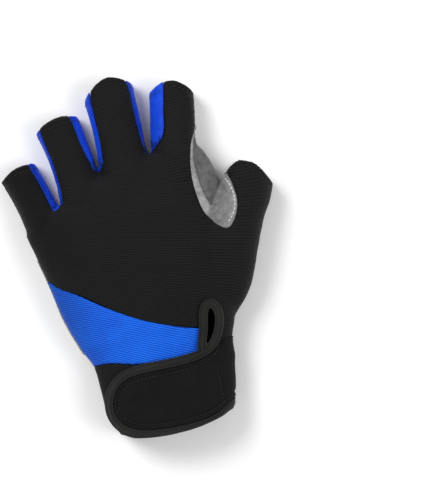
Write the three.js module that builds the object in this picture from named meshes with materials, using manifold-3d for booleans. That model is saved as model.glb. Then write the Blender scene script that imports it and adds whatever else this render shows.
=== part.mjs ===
// A fingerless rowing glove for the left hand, lying palm down with its back up.
// Millimetres: +X points to the thumb side, +Y to the fingertips, +Z up from the surface below.
import * as THREE from 'three';
import { mergeVertices } from 'three/addons/utils/BufferGeometryUtils.js';
import Module from 'manifold-3d';

const wasm = await Module();
wasm.setup();

// Driving dimensions of the hand part
const PALM_WIDTH = 92; // ulnar side to thumb crotch, across the knuckles
const GLOVE_LENGTH = 188; // wrist hem to the end of the middle finger
const PALM_DEPTH = 29; // back to palm at the thickest place
const FINGER_DEPTH = 21; // back to palm of the middle finger
const THUMB_DEPTH = 24; // back to palm of the thumb
const WALL = 2; // foam-backed cloth

// Driving dimensions of what is sewn on
const PAD_THICKNESS = 1.8; // quilted suede over the palm
const QUILT_CHANNEL = 0.9; // radius of the channels pressed in by the quilting
const STRAP_THICKNESS = 2;
const STRAP_BINDING_THICKNESS = 2.6;
const STRAP_BINDING_WIDTH = 5.5;
const HEM_THICKNESS = 1.5;
const KEYHOLE_BINDING_WIDTH = 4.5;
const KEYHOLE_BINDING_THICKNESS = 1.3;
const TAB_WIDTH = 20.5;
const TAB_THICKNESS = 1.2;
const GAP = 0.3; // between neighbouring pieces

// The plan is drafted on a pattern 92 units wide and 188 long, stretched to the sizes above.
const PATTERN = { width: 92, length: 188 };
const across = (units) => (units * PALM_WIDTH) / PATTERN.width;
const along = (units) => (units * GLOVE_LENGTH) / PATTERN.length;

// Shape of the cross-sections
const PAD_LIFT = PAD_THICKNESS + GAP; // the hand part rides this high on its palm pad
const WIDEST = 0.45; // height of the widest place, as a share of the depth
const ROUND_BACK = 2.3; // superellipse exponents of the back and palm halves
const ROUND_PALM = 2.8;
const FLATTENED = 0.12; // share of the depth that the surface below flattens
const RUN_OUT = 12; // how far a cutter runs past an open end
const BODY_SIDES = 32;
const FINGER_SIDES = 22;

// Sections from the wrist hem to the knuckles. left and right are plan points of the ulnar and
// thumb side, bow moves the middle towards the fingers, depth is a share of the palm depth and
// floor a share of the pad lift.
const HAND_SECTIONS = [
  { left: [-25, 0], right: [35, 1], bow: -5.3, depth: 0.84, floor: 1 },
  { left: [-29.5, 10], right: [38.5, 11], bow: -2, depth: 0.84, floor: 1 },
  { left: [-30.5, 24], right: [40.5, 25], bow: 0, depth: 0.84, floor: 1 },
  { left: [-31.5, 37], right: [42.5, 38], bow: 0, depth: 0.86, floor: 1 },
  { left: [-36, 48], right: [46, 49], bow: 0, depth: 0.91, floor: 1 },
  { left: [-41.5, 64], right: [48, 62], bow: 0, depth: 0.97, floor: 1 },
  { left: [-45, 82], right: [49, 77], bow: 0, depth: 1, floor: 1 },
  { left: [-48.5, 97], right: [50, 92], bow: 1, depth: 1, floor: 1 },
  { left: [-51.2, 109], right: [52, 106], bow: 3, depth: 0.94, floor: 1 },
  { left: [-51.6, 112], right: [52.5, 119], bow: 5, depth: 0.87, floor: 1 },
  { left: [-50.6, 114], right: [50, 130], bow: 6.5, depth: 0.79, floor: 1 },
  { left: [-48, 115.5], right: [46.5, 138], bow: 6.5, depth: 0.64, floor: 2 },
  { left: [-44.5, 116], right: [42, 141.5], bow: 6, depth: 0.42, floor: 3.6 },
];

// Sections of each finger stall, from inside the hand to its open end. lean moves the back of
// the finger to the thumb side. depth is a share of the finger depth.
const FINGER_SECTIONS = {
  pinky: [
    { left: [-39, 96], right: [-25, 100], bow: 0, depth: 0.6, floor: 2.4, lean: 0 },
    { left: [-50.2, 111], right: [-29, 117], bow: 0, depth: 0.98, floor: 1.3, lean: 0 },
    { left: [-53.3, 123], right: [-31.5, 127.5], bow: 0, depth: 0.92, floor: 0.7, lean: 0 },
    { left: [-56.3, 133], right: [-36, 138], bow: 0.6, depth: 0.87, floor: 0.2, lean: 0 },
    { left: [-59, 141], right: [-40, 147.3], bow: 2.4, depth: 0.82, floor: 0, lean: 0 },
  ],
  ring: [
    { left: [-26, 102], right: [-6, 106], bow: 0, depth: 0.7, floor: 1.6, lean: 0 },
    { left: [-30.8, 119], right: [-5.2, 124], bow: 0, depth: 1.09, floor: 1.2, lean: 0 },
    { left: [-31, 133], right: [-6, 138], bow: 0, depth: 1.03, floor: 0.7, lean: 0 },
    { left: [-32.7, 148], right: [-9.6, 152], bow: 0.8, depth: 0.97, floor: 0.2, lean: 0 },
    { left: [-36, 162], right: [-13, 166.6], bow: 3, depth: 0.92, floor: 0, lean: 0 },
  ],
  middle: [
    { left: [-3, 106], right: [18, 107], bow: 0, depth: 0.75, floor: 1.6, lean: 0 },
    { left: [-7.2, 126], right: [21, 126], bow: 0, depth: 1.12, floor: 1.2, lean: 0 },
    { left: [-7, 142], right: [20.4, 142], bow: 0, depth: 1.06, floor: 0.7, lean: 0 },
    { left: [-6.6, 159], right: [19.3, 160], bow: 1.2, depth: 0.98, floor: 0.2, lean: 0 },
    { left: [-7.8, 173.5], right: [18.4, 177.5], bow: 7.5, depth: 0.96, floor: 0, lean: 0 },
  ],
  index: [
    { left: [20.5, 106], right: [41, 107], bow: 0, depth: 0.72, floor: 1.6, lean: 0 },
    { left: [19.4, 127], right: [44.5, 127], bow: 0, depth: 1.08, floor: 1.2, lean: 0.06 },
    { left: [20.9, 143], right: [45, 143], bow: 0, depth: 1.04, floor: 0.7, lean: 0.12 },
    { left: [24, 158], right: [47.2, 156], bow: 1.2, depth: 0.96, floor: 0.2, lean: 0.14 },
    { left: [26.5, 171], right: [48.5, 166.5], bow: 5.5, depth: 0.94, floor: 0, lean: 0.14 },
  ],
};

// Sections of the thumb stall, from inside the wrist to its mouth
const THUMB_SECTIONS = [
  { left: [24, 63], right: [43, 45], bow: 0, depth: 0.62, floor: 1.6, lean: 0 },
  { left: [28, 79], right: [56.5, 61], bow: 0, depth: 0.9, floor: 1.3, lean: 0 },
  { left: [34, 95], right: [65.5, 82], bow: 0, depth: 1, floor: 1.25, lean: 0 },
  { left: [45.5, 107], right: [71.5, 95.5], bow: 0.8, depth: 1, floor: 0.7, lean: 0 },
  { left: [52.6, 116], right: [76.3, 103.5], bow: 3, depth: 0.98, floor: 0.2, lean: 0 },
  { left: [56.3, 121], right: [79, 110], bow: 7.5, depth: 0.96, floor: 0, lean: 0 },
];

// Seam lines of the panels. back is the plan point on the back of the glove, palm on its palm.
const FOURCHETTE_SEAMS = {
  pinky_ring: [
    { back: [-44, 158], palm: [-47, 164] },
    { back: [-42, 147], palm: [-45.8, 153] },
    { back: [-38.3, 132], palm: [-41, 136] },
    { back: [-35.6, 121.5], palm: [-35.5, 121] },
    { back: [-32.5, 120], palm: [-32, 114.5] },
    { back: [-29.2, 123.5], palm: [-29, 118] },
    { back: [-29.3, 135], palm: [-27.9, 128] },
    { back: [-30.2, 149], palm: [-30, 150] },
    { back: [-33.5, 163], palm: [-33.5, 170] },
    { back: [-36, 180], palm: [-36, 185] },
  ],
  ring_middle: [
    { back: [-17.5, 176], palm: [-18.8, 182] },
    { back: [-15.2, 160], palm: [-17.5, 168] },
    { back: [-13.2, 149], palm: [-15.4, 157] },
    { back: [-11, 140.5], palm: [-12.4, 145] },
    { back: [-8, 136.3], palm: [-7.6, 128.5] },
    { back: [-5.6, 137.5], palm: [-5.4, 128.5] },
    { back: [-4, 143], palm: [-4.3, 137] },
    { back: [-3.6, 155], palm: [-3.8, 151] },
    { back: [-4, 170], palm: [-3.3, 168] },
    { back: [-4.6, 192], palm: [-3, 192] },
  ],
  middle_index: [
    { back: [16, 192], palm: [12, 192] },
    { back: [16.8, 168], palm: [12.6, 174] },
    { back: [17.5, 152], palm: [13.4, 160] },
    { back: [18.4, 144.5], palm: [14.5, 147] },
    { back: [20, 140.6], palm: [17, 132.8] },
    { back: [23, 141], palm: [19, 132] },
    { back: [27.5, 144.5], palm: [22, 138.5] },
    { back: [31, 152], palm: [24.6, 152] },
    { back: [33, 165], palm: [28, 169] },
    { back: [35, 192], palm: [30, 192] },
  ],
};
const GUSSET_SEAM = [
  { back: [53, 160], palm: [46.5, 164] },
  { back: [48.8, 151], palm: [45, 156] },
  { back: [45, 145], palm: [43.8, 149] },
  { back: [42, 141], palm: [42.6, 142] },
  { back: [40, 132], palm: [41.4, 134] },
  { back: [39, 123], palm: [40.6, 126] },
  { back: [39.3, 115], palm: [40.4, 119] },
  { back: [40.8, 107.5], palm: [41.4, 112] },
  { back: [44.5, 99.5], palm: [44.6, 106.5] },
  { back: [49.5, 94.3], palm: [49, 104.5] },
  { back: [54.3, 95.5], palm: [52.6, 106] },
  { back: [58.5, 101.5], palm: [55.5, 109] },
  { back: [60.2, 109], palm: [57, 113] },
  { back: [59, 116], palm: [57.6, 117.5] },
  { back: [56.5, 123], palm: [56, 123] },
  { back: [54.5, 134], palm: [54.5, 134] },
  { back: [62, 160], palm: [60, 164] },
];
const CUFF_SEAM = [
  { back: [-60, 37], palm: [-60, 36] },
  { back: [-25, 35], palm: [-26, 34] },
  { back: [-8, 33], palm: [-6, 31] },
  { back: [10, 32.4], palm: [14, 30.4] },
  { back: [26, 34], palm: [25, 32.2] },
  { back: [60, 38], palm: [60, 35] },
  { back: [60, -25], palm: [60, -25] },
  { back: [-60, -25], palm: [-60, -25] },
];
const HEM_LINE = [
  { back: [-60, 7], palm: [-60, 7] },
  { back: [-25, 5.4], palm: [-24, 5] },
  { back: [-12, 1.6], palm: [-11, 0.6] },
  { back: [5, 0], palm: [5, -0.4] },
  { back: [20, 1], palm: [20, 0.6] },
  { back: [34, 5.6], palm: [34, 5] },
  { back: [60, 7], palm: [60, 7] },
  { back: [60, -25], palm: [60, -25] },
  { back: [-60, -25], palm: [-60, -25] },
];

// Outlines in plan that run straight through a layer
const WRIST_PANEL_OUTLINE = [
  [-65, 99], [-46, 86], [-40, 81], [-30, 75], [-20, 67.6], [-10, 61], [0, 55.6],
  [10, 51.5], [20, 48], [26, 46.5], [31.6, 45.5], [28.6, 37], [28.6, 20], [-65, 20],
];
const STRAP_OUTLINE = [
  [62, 37.6], [40, 37.4], [28, 36.3], [18, 34.6], [5, 34.2], [-5, 34.4], [-13, 33.8], [-20, 31.6],
  [-26, 26.8], [-29.4, 20], [-30.2, 12.5], [-28.4, 5.2], [-23.6, -0.4], [-16, -3.6], [-8, -5.2],
  [5, -6], [20, -5.6], [31, -2.6], [38, 0.6], [62, 2],
];
const KEYHOLE_OUTLINE = [
  [27.4, -25], [27.4, 35.5], [28.8, 38.5], [31, 45], [32, 50], [33.3, 54], [34.3, 55.2],
  [35.2, 54], [35.6, 49], [34.2, 43.5], [31, 38.5], [29.4, 35.5], [29.4, -25],
];
const PAD_OUTLINE = [
  [40, 128.5], [32, 128], [21, 125.6], [11, 123], [0, 120], [-11, 116.6], [-21, 113.4], [-32, 110.8],
  [-40, 107.4], [-45, 103.8], [-49, 98], [-60, 90], [-45, 44.8], [-32, 44.6], [-21, 43.6], [-5, 44.2],
  [5, 45.6], [16, 47.4], [24, 49.2], [30, 51.8], [33, 64], [37, 82], [40, 100], [41, 116],
];

// Quilting lines across the palm pad
const QUILT_LINES = [
  [[36, 119.5], [21, 115.6], [5, 110.2], [-11, 103.6], [-27, 96.2], [-41, 88.6]],
  [[21, 105], [10.5, 100], [0, 93.2], [-11, 86.1], [-21, 79], [-32, 69.8], [-37, 60]],
  [[23.5, 96], [16, 89.6], [5, 81], [-11, 64.8], [-18, 57], [-24, 48.4]],
  [[26.5, 84.7], [21, 77.7], [11, 64.3], [5, 57.2], [-2, 48.6]],
];

// Heights of the side seams and of the edges of the sewn-on layers, as shares of the palm depth
const SIDE_SEAM = { wrist: 0.46, fingers: 0.34 };
const STRAP_LOW = 0.3;
const PAD_HIGH = 0.3;

// Place of the wrist tab on the palm side, in pattern units: between hem binding and cuff seam
const TAB_PLACE = { middle: 6, hem: 1.2, seam: 30.4 };

// Plan point of a pattern point
const planPoint = ([x, y]) => new THREE.Vector2(across(x), along(y));

// Closed ring of a section, drawn in by inset from every side but not along its run
function sectionRing(section, depthSize, sides, inset) {
  const left = planPoint(section.left);
  const right = planPoint(section.right);
  const middle = left.clone().add(right).multiplyScalar(0.5);
  const half = right.clone().sub(left).multiplyScalar(0.5);
  const reach = half.length();
  half.multiplyScalar((reach - inset) / reach);
  const depth = section.depth * depthSize;
  const floor = section.floor * PAD_LIFT;
  const widest = floor + WIDEST * depth;
  const rise = depth + floor - widest - inset;
  const fall = widest - floor - inset + FLATTENED * depth;
  const lean = (section.lean ?? 0) * reach;
  return Array.from({ length: sides }, (_, side) => {
    const angle = (2 * Math.PI * side) / sides;
    const exponent = 2 / (side < sides / 2 ? ROUND_BACK : ROUND_PALM);
    const u = Math.sign(Math.cos(angle)) * Math.abs(Math.cos(angle)) ** exponent;
    const w = Math.sign(Math.sin(angle)) * Math.abs(Math.sin(angle)) ** exponent;
    const x = middle.x + half.x * u + lean * Math.max(w, 0);
    const y = middle.y + half.y * u + along(section.bow) * (1 - u * u);
    const z = Math.max(widest + (w > 0 ? rise : fall) * w, floor + inset);
    return new THREE.Vector3(x, y, z);
  });
}

// Solid through a list of rings, closed by a fan at each end
function loftGeometry(rings) {
  const sides = rings[0].length;
  const centre = (ring) => {
    const sum = ring.reduce((total, point) => total.add(point), new THREE.Vector3());
    return sum.divideScalar(sides);
  };
  const points = [...rings.flat(), centre(rings[0]), centre(rings.at(-1))];
  const start = points.length - 2;
  const last = (rings.length - 1) * sides;
  const triangles = [];
  for (let side = 0; side < sides; side += 1) {
    const next = (side + 1) % sides;
    triangles.push(start, side, next, start + 1, last + next, last + side);
    for (let ring = 0; ring < rings.length - 1; ring += 1) {
      const near = ring * sides;
      const far = near + sides;
      triangles.push(near + side, far + side, far + next, near + side, far + next, near + next);
    }
  }
  return indexedGeometry(points, triangles);
}

// Solid between a plan outline high up and one low down, both with the same number of points
function blockGeometry(highOutline, lowOutline, low, high) {
  const count = highOutline.length;
  const points = [
    ...highOutline.map((point) => new THREE.Vector3(point.x, point.y, high)),
    ...lowOutline.map((point) => new THREE.Vector3(point.x, point.y, low)),
  ];
  const triangles = [];
  for (const [a, b, c] of THREE.ShapeUtils.triangulateShape(highOutline, [])) {
    triangles.push(a, b, c);
  }
  for (const [a, b, c] of THREE.ShapeUtils.triangulateShape(lowOutline, [])) {
    triangles.push(count + c, count + b, count + a);
  }
  for (let corner = 0; corner < count; corner += 1) {
    const next = (corner + 1) % count;
    triangles.push(corner, count + corner, count + next, corner, count + next, next);
  }
  return indexedGeometry(points, triangles);
}

function indexedGeometry(points, triangles) {
  const geometry = new THREE.BufferGeometry().setFromPoints(points);
  geometry.setIndex(triangles);
  return geometry;
}

// Outline moved out by a distance, with its corners kept
function grownOutline(outline, distance) {
  const count = outline.length;
  return outline.map((point, corner) => {
    const before = point.clone().sub(outline[(corner + count - 1) % count]).normalize();
    const after = outline[(corner + 1) % count].clone().sub(point).normalize();
    const mitre = new THREE.Vector2(before.y + after.y, -before.x - after.x).normalize();
    const stretch = 1 / Math.max(mitre.dot(new THREE.Vector2(after.y, -after.x)), 0.5);
    return point.clone().addScaledVector(mitre, distance * stretch);
  });
}

// Anticlockwise plan outline from pattern points
function planOutline(points) {
  const outline = points.map(planPoint);
  return THREE.ShapeUtils.isClockWise(outline) ? outline.reverse() : outline;
}

// Boolean solid of a closed geometry, and back
function solidOf(geometry) {
  const bare = geometry.clone();
  bare.deleteAttribute('normal');
  bare.deleteAttribute('uv');
  const merged = mergeVertices(bare);
  return new wasm.Manifold(new wasm.Mesh({
    numProp: 3,
    vertProperties: new Float32Array(merged.attributes.position.array),
    triVerts: new Uint32Array(merged.index.array),
  }));
}

function geometryOf(solid) {
  const { vertProperties, triVerts } = solid.getMesh();
  const geometry = new THREE.BufferGeometry();
  geometry.setAttribute('position', new THREE.Float32BufferAttribute(vertProperties, 3));
  geometry.setIndex(Array.from(triVerts));
  geometry.computeVertexNormals();
  return geometry;
}

// Largest body of a solid, without the crumbs that crossing cuts leave
const mainBody = (solid) =>
  solid.decompose().reduce((largest, body) => (body.volume() > largest.volume() ? body : largest));

const TOP = PALM_DEPTH + PAD_LIFT + RUN_OUT; // height above everything

// Region between the seams of a table, grown sideways by a distance
function seamRegion(rows, grow = 0) {
  const back = rows.map((row) => planPoint(row.back));
  const palm = rows.map((row) => planPoint(row.palm));
  if (THREE.ShapeUtils.isClockWise(back)) {
    back.reverse();
    palm.reverse();
  }
  return solidOf(blockGeometry(grownOutline(back, grow), grownOutline(palm, grow), -RUN_OUT, TOP));
}

// Straight region of a plan outline between two heights
function straightRegion(points, grow = 0, low = -RUN_OUT, high = TOP) {
  const outline = grownOutline(planOutline(points), grow);
  return solidOf(blockGeometry(outline, outline, low, high));
}

// A finger or thumb stall drawn in by inset, run on past its open end where it is a cutter
function stallSolid(sections, depth, inset) {
  const drawn = sections.map((section) => sectionRing(section, depth, FINGER_SIDES, inset));
  const axis = planPoint(sections.at(-1).left).sub(planPoint(sections.at(-2).left)).setLength(RUN_OUT);
  const beyond = drawn.at(-1).map((point) => new THREE.Vector3(point.x + axis.x, point.y + axis.y, point.z));
  return solidOf(loftGeometry(inset > 0 ? [...drawn, beyond] : drawn));
}

// The hand without fingers, drawn in by inset, or let out where inset is below zero. Its open
// wrist end is at the hem, or past it in a cutter.
function handSolid(inset, pastHem) {
  const drawn = HAND_SECTIONS.map((section) => sectionRing(section, PALM_DEPTH, BODY_SIDES, inset));
  for (const point of drawn.at(-1)) {
    point.y -= Math.max(inset, 0);
  }
  const beyond = drawn[0].map((point) => point.clone().setY(point.y - RUN_OUT));
  return solidOf(loftGeometry(pastHem ? [beyond, ...drawn] : drawn));
}

// Cloth skin of the hand, fingers and thumb, open at the hem and at every end
function skinSolid() {
  let outside = handSolid(0, false);
  let inside = handSolid(WALL, true);
  for (const sections of Object.values(FINGER_SECTIONS)) {
    outside = outside.add(stallSolid(sections, FINGER_DEPTH, 0));
    inside = inside.add(stallSolid(sections, FINGER_DEPTH, WALL));
  }
  outside = outside.add(stallSolid(THUMB_SECTIONS, THUMB_DEPTH, 0));
  inside = inside.add(stallSolid(THUMB_SECTIONS, THUMB_DEPTH, WALL));
  return outside.subtract(inside);
}

// A layer of its own thickness on the outside of the hand
const layer = (thickness) => handSolid(-GAP - thickness, false).subtract(handSolid(-GAP, true));

// Everything below the side seams, raised by a distance
function lowerHalf(raise) {
  const wrist = SIDE_SEAM.wrist * PALM_DEPTH + raise;
  const fingers = SIDE_SEAM.fingers * PALM_DEPTH + raise;
  const side = new THREE.Shape([
    new THREE.Vector2(-RUN_OUT * 3, -RUN_OUT),
    new THREE.Vector2(GLOVE_LENGTH + RUN_OUT, -RUN_OUT),
    new THREE.Vector2(GLOVE_LENGTH + RUN_OUT, fingers),
    new THREE.Vector2(0, wrist),
    new THREE.Vector2(-RUN_OUT * 3, wrist),
  ]);
  const span = PALM_WIDTH * 2;
  const geometry = new THREE.ExtrudeGeometry(side, { depth: span * 2, bevelEnabled: false });
  geometry.applyMatrix4(new THREE.Matrix4().makeBasis(
    new THREE.Vector3(0, 1, 0),
    new THREE.Vector3(0, 0, 1),
    new THREE.Vector3(1, 0, 0),
  ));
  geometry.translate(-span, 0, 0);
  return solidOf(geometry);
}

// Piece of a layer inside a region
const sewnPiece = (thickness, region) => mainBody(layer(thickness).intersect(region));

// Panels of the skin, each cut out with a gap to the rest
function skinPanels() {
  const keyhole = straightRegion(KEYHOLE_OUTLINE, 0, SIDE_SEAM.wrist * PALM_DEPTH);
  let rest = skinSolid().subtract(keyhole);
  const panels = {};
  const cutOut = (name, rows) => {
    panels[name] = mainBody(rest.intersect(seamRegion(rows)));
    rest = rest.subtract(seamRegion(rows, GAP));
  };
  cutOut('thumb_gusset', GUSSET_SEAM);
  for (const [fingers, rows] of Object.entries(FOURCHETTE_SEAMS)) {
    cutOut(`fourchette_${fingers}`, rows);
  }
  cutOut('cuff', CUFF_SEAM);
  panels.palm_panel = mainBody(rest.intersect(lowerHalf(0)));
  const back = rest.subtract(lowerHalf(GAP));
  panels.wrist_panel = mainBody(back.intersect(straightRegion(WRIST_PANEL_OUTLINE)));
  panels.back_panel = mainBody(back.subtract(straightRegion(WRIST_PANEL_OUTLINE, GAP)));
  return panels;
}

// Channels of the quilting along the underside of the pad
function quiltChannels() {
  const section = new THREE.Shape(new THREE.Path().absarc(0, 0, QUILT_CHANNEL, 0, 2 * Math.PI).getPoints(3));
  return QUILT_LINES.map((line) => {
    const points = line.map(([x, y]) => new THREE.Vector3(across(x), along(y), 0));
    const path = new THREE.CatmullRomCurve3(points);
    return solidOf(new THREE.ExtrudeGeometry(section, { steps: 14, extrudePath: path, bevelEnabled: false }));
  });
}

function palmPad() {
  const region = straightRegion(PAD_OUTLINE, 0, -RUN_OUT, PAD_HIGH * PALM_DEPTH);
  return quiltChannels().reduce((pad, channel) => pad.subtract(channel), sewnPiece(PAD_THICKNESS, region));
}

// Strap over the back of the wrist with its rounded end, and the binding round its edge
function strapPieces() {
  const low = STRAP_LOW * PALM_DEPTH;
  const whole = straightRegion(STRAP_OUTLINE, 0, low);
  const field = straightRegion(STRAP_OUTLINE, -STRAP_BINDING_WIDTH, low);
  const fieldAndGap = straightRegion(STRAP_OUTLINE, GAP - STRAP_BINDING_WIDTH, -RUN_OUT);
  return {
    strap: sewnPiece(STRAP_THICKNESS, field),
    strap_binding: sewnPiece(STRAP_BINDING_THICKNESS, whole.subtract(fieldAndGap)),
  };
}

// Binding of the wrist hem, left out where the strap covers it
function cuffBinding() {
  const covered = straightRegion(STRAP_OUTLINE, GAP, STRAP_LOW * PALM_DEPTH - GAP);
  return sewnPiece(HEM_THICKNESS, seamRegion(HEM_LINE).subtract(covered));
}

// Binding round the slot above the strap
function keyholeBinding() {
  const low = SIDE_SEAM.wrist * PALM_DEPTH;
  const region = straightRegion(KEYHOLE_OUTLINE, KEYHOLE_BINDING_WIDTH, low)
    .subtract(straightRegion(KEYHOLE_OUTLINE))
    .subtract(straightRegion(STRAP_OUTLINE, GAP));
  return sewnPiece(KEYHOLE_BINDING_THICKNESS, region);
}

// Tab on the palm side of the cuff
function wristTab() {
  const left = across(TAB_PLACE.middle) - TAB_WIDTH / 2;
  const right = across(TAB_PLACE.middle) + TAB_WIDTH / 2;
  const hem = along(TAB_PLACE.hem);
  const seam = along(TAB_PLACE.seam);
  const corners = [[left, hem], [right, hem], [right, seam], [left, seam]];
  const outline = corners.map(([x, y]) => new THREE.Vector2(x, y));
  const region = solidOf(blockGeometry(outline, outline, -RUN_OUT, PAD_HIGH * PALM_DEPTH));
  return sewnPiece(TAB_THICKNESS, region);
}

const cloth = (color, roughness) => new THREE.MeshStandardMaterial({ color, roughness, metalness: 0 });
const blackCloth = () => cloth(0x1e1e1f, 0.8);
const palmCloth = () => cloth(0x171718, 0.85);
const blueCloth = () => cloth(0x1c5cdc, 0.75);
const suede = () => cloth(0x969696, 0.95);
const ribbedTape = () => cloth(0x262625, 0.9);

const MATERIALS = {
  back_panel: blackCloth,
  wrist_panel: blueCloth,
  palm_panel: palmCloth,
  thumb_gusset: suede,
  fourchette_pinky_ring: blueCloth,
  fourchette_ring_middle: blueCloth,
  fourchette_middle_index: blueCloth,
  cuff: blackCloth,
  palm_pad: suede,
  strap: blackCloth,
  strap_binding: ribbedTape,
  cuff_binding: ribbedTape,
  keyhole_binding: ribbedTape,
  wrist_tab: suede,
};

const pieces = {
  ...skinPanels(),
  ...strapPieces(),
  palm_pad: palmPad(),
  cuff_binding: cuffBinding(),
  keyhole_binding: keyholeBinding(),
  wrist_tab: wristTab(),
};

const group = new THREE.Group();
for (const [name, solid] of Object.entries(pieces)) {
  const mesh = new THREE.Mesh(geometryOf(solid), MATERIALS[name]());
  mesh.name = name;
  group.add(mesh);
}

// The origin is on the surface below, at the middle of the glove's plan
const box = new THREE.Box3().setFromObject(group);
const middle = box.getCenter(new THREE.Vector3());
group.position.set(-middle.x, -middle.y, -box.min.z);

export default group;
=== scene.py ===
"""Fingerless rowing glove: its cloth, suede, tape and thread over the CAD frame."""
import math

import bmesh
import bpy
import numpy as np
from mathutils import Matrix, Vector, noise
from mathutils.bvhtree import BVHTree
from mathutils.kdtree import KDTree


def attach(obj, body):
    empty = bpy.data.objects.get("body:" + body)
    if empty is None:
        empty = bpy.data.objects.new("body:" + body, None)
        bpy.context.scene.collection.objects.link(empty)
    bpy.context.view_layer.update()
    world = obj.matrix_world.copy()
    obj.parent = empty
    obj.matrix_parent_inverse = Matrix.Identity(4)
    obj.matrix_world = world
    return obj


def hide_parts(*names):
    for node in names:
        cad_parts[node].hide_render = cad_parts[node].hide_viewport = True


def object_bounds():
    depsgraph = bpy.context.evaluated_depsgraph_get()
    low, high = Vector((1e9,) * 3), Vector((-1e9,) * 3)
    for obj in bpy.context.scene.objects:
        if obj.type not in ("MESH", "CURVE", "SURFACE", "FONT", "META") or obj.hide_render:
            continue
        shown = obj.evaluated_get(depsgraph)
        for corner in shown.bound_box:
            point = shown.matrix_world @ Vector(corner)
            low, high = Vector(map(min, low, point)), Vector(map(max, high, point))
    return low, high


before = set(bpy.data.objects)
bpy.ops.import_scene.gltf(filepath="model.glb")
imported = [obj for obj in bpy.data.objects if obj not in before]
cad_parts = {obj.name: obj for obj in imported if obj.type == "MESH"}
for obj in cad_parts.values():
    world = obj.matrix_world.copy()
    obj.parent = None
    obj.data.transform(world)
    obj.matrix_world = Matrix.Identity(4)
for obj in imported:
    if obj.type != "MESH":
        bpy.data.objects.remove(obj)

CAD_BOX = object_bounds()

# Shapes are drafted in millimetres on the glove's pattern, whose lowest corner is PATTERN_LOW.
# +X points to the thumb side, +Y to the fingertips and +Z up.
PATTERN_LOW = Vector((-59.0, -4.8, 0.0))
MM = 0.001
TO_ROW = Matrix.Translation(Vector(CAD_BOX[0]) - PATTERN_LOW * MM) @ Matrix.Scale(MM, 4)

# Sizes in millimetres, most of them as in the solids
PALM_DEPTH = 29
FINGER_DEPTH = 21
THUMB_DEPTH = 24
WALL = 2
PAD_THICKNESS = 1.8
STRAP_THICKNESS = 2.0
TAPE_THICKNESS = 2.6
BINDING_THICKNESS = 1.5
TAB_THICKNESS = 1.2
GAP = 0.3
PAD_LIFT = PAD_THICKNESS + GAP

# Shape of a section: share of the depth where it is widest, powers of its roundness over and
# under that, and how much of the depth its underside is flattened by
WIDEST = 0.45
ROUND_BACK = 2.3
ROUND_PALM = 2.8
FLATTENED = 0.12

# How far cutters run past an opening, how low and how high blocks reach, the gap that seams are
# cut with, and how far the finished pieces stay above the floor
RUN_OUT = 12
BOTTOM = -4.0
TOP = 36
SEAM_GAP = 0.06
FLOOR_GAP = 0.05

# Heights of seams and edges, and widths of tape and hem
SEAM_HIGH = 20
SEAM_LOW = 2
STRAP_LOW = 0.3 * PALM_DEPTH
PAD_HIGH = 0.3 * PALM_DEPTH
BINDING_HIGH = 0.19 * PALM_DEPTH
WRIST_SEAM = 0.46 * PALM_DEPTH
FINGER_SEAM = 0.34 * PALM_DEPTH
TAPE_WIDTH = 4.6
HEM_WIDTH = 3

# Fineness of the meshes: sides and rings of the hand and the stalls, size of the cells that each
# kind of piece is remeshed with, and rounds of smoothing
SIDES = 96
HAND_RINGS = 150
STALL_RINGS = 72
HEM_RINGS = 200
BODY_VOXEL = 0.8
PANEL_VOXEL = 0.66
TRIM_VOXEL = 0.46
FINE_VOXEL = 0.38
BODY_SMOOTHING = 12
EDGE_SMOOTHING = 5
FINE_SMOOTHING = 9

# Middle of the hand in x and z, which the strap and its tape face away from
HAND_AXIS = (5, 0, 14)

# Height of the picture in pixels, size of a pixel in millimetres, the camera's roll in degrees,
# and the point under the camera in metres of the row frame
PICTURE_HEIGHT = 495
PIXEL = 0.52
ROLL = -12
AIM = (0.0344, -0.00426, 0.016)

# How much of a finish's colour comes from its pattern's height and from its clouds, and the two
# ends of that mix at which the darker and the lighter tone stand
HEIGHT_SHARE = 0.45
CLOUD_SHARE = 0.55
DARK_END = 0.3
LIGHT_END = 0.7

# Columns of a section: left x, y, right x, y, bow, depth, floor, lean
HAND_SECTIONS = [
    (-25, 0, 32.6, 1.4, -5.3, 0.84, 1, 0),
    (-29.5, 10, 36.2, 11, -2, 0.84, 1, 0),
    (-30.5, 24, 38.8, 25, 0, 0.84, 1, 0),
    (-31.5, 37, 42.3, 38, 0, 0.86, 1, 0),
    (-36, 48, 46, 49, 0, 0.91, 1, 0),
    (-41.5, 64, 48, 62, 0, 0.97, 1, 0),
    (-45, 82, 49, 77, 0, 1, 1, 0),
    (-48.5, 97, 50, 92, 1, 1, 1, 0),
    (-51.2, 109, 52, 106, 3, 0.94, 1, 0),
    (-51.6, 112, 52.5, 119, 5, 0.87, 1, 0),
    (-50.6, 114, 50, 130, 6.5, 0.79, 1, 0),
    (-48, 115.5, 46.5, 138, 6.5, 0.64, 2, 0),
    (-44.5, 116, 42, 141.5, 6, 0.42, 3.6, 0),
]
PINKY_SECTIONS = [
    (-39, 96, -25, 100, 0, 0.6, 2.4, 0),
    (-50.2, 111, -30.6, 117, 0, 0.98, 1.3, 0),
    (-53.3, 123, -33.8, 127.5, 0, 0.92, 0.7, 0),
    (-56.3, 133, -36.8, 138, 0.6, 0.87, 0.2, 0),
    (-59.4, 141.6, -40, 148, 2.6, 0.82, 0, 0),
]
RING_SECTIONS = [
    (-26, 102, -6, 106, 0, 0.7, 1.6, 0),
    (-30.8, 119, -6.4, 124, 0, 1.09, 1.2, 0),
    (-31, 133, -8.6, 138, 0, 1.03, 0.7, 0),
    (-32.7, 148, -10.4, 152, 0.8, 0.97, 0.2, 0),
    (-36.2, 162.6, -13, 167.4, 3, 0.92, 0, 0),
]
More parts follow.
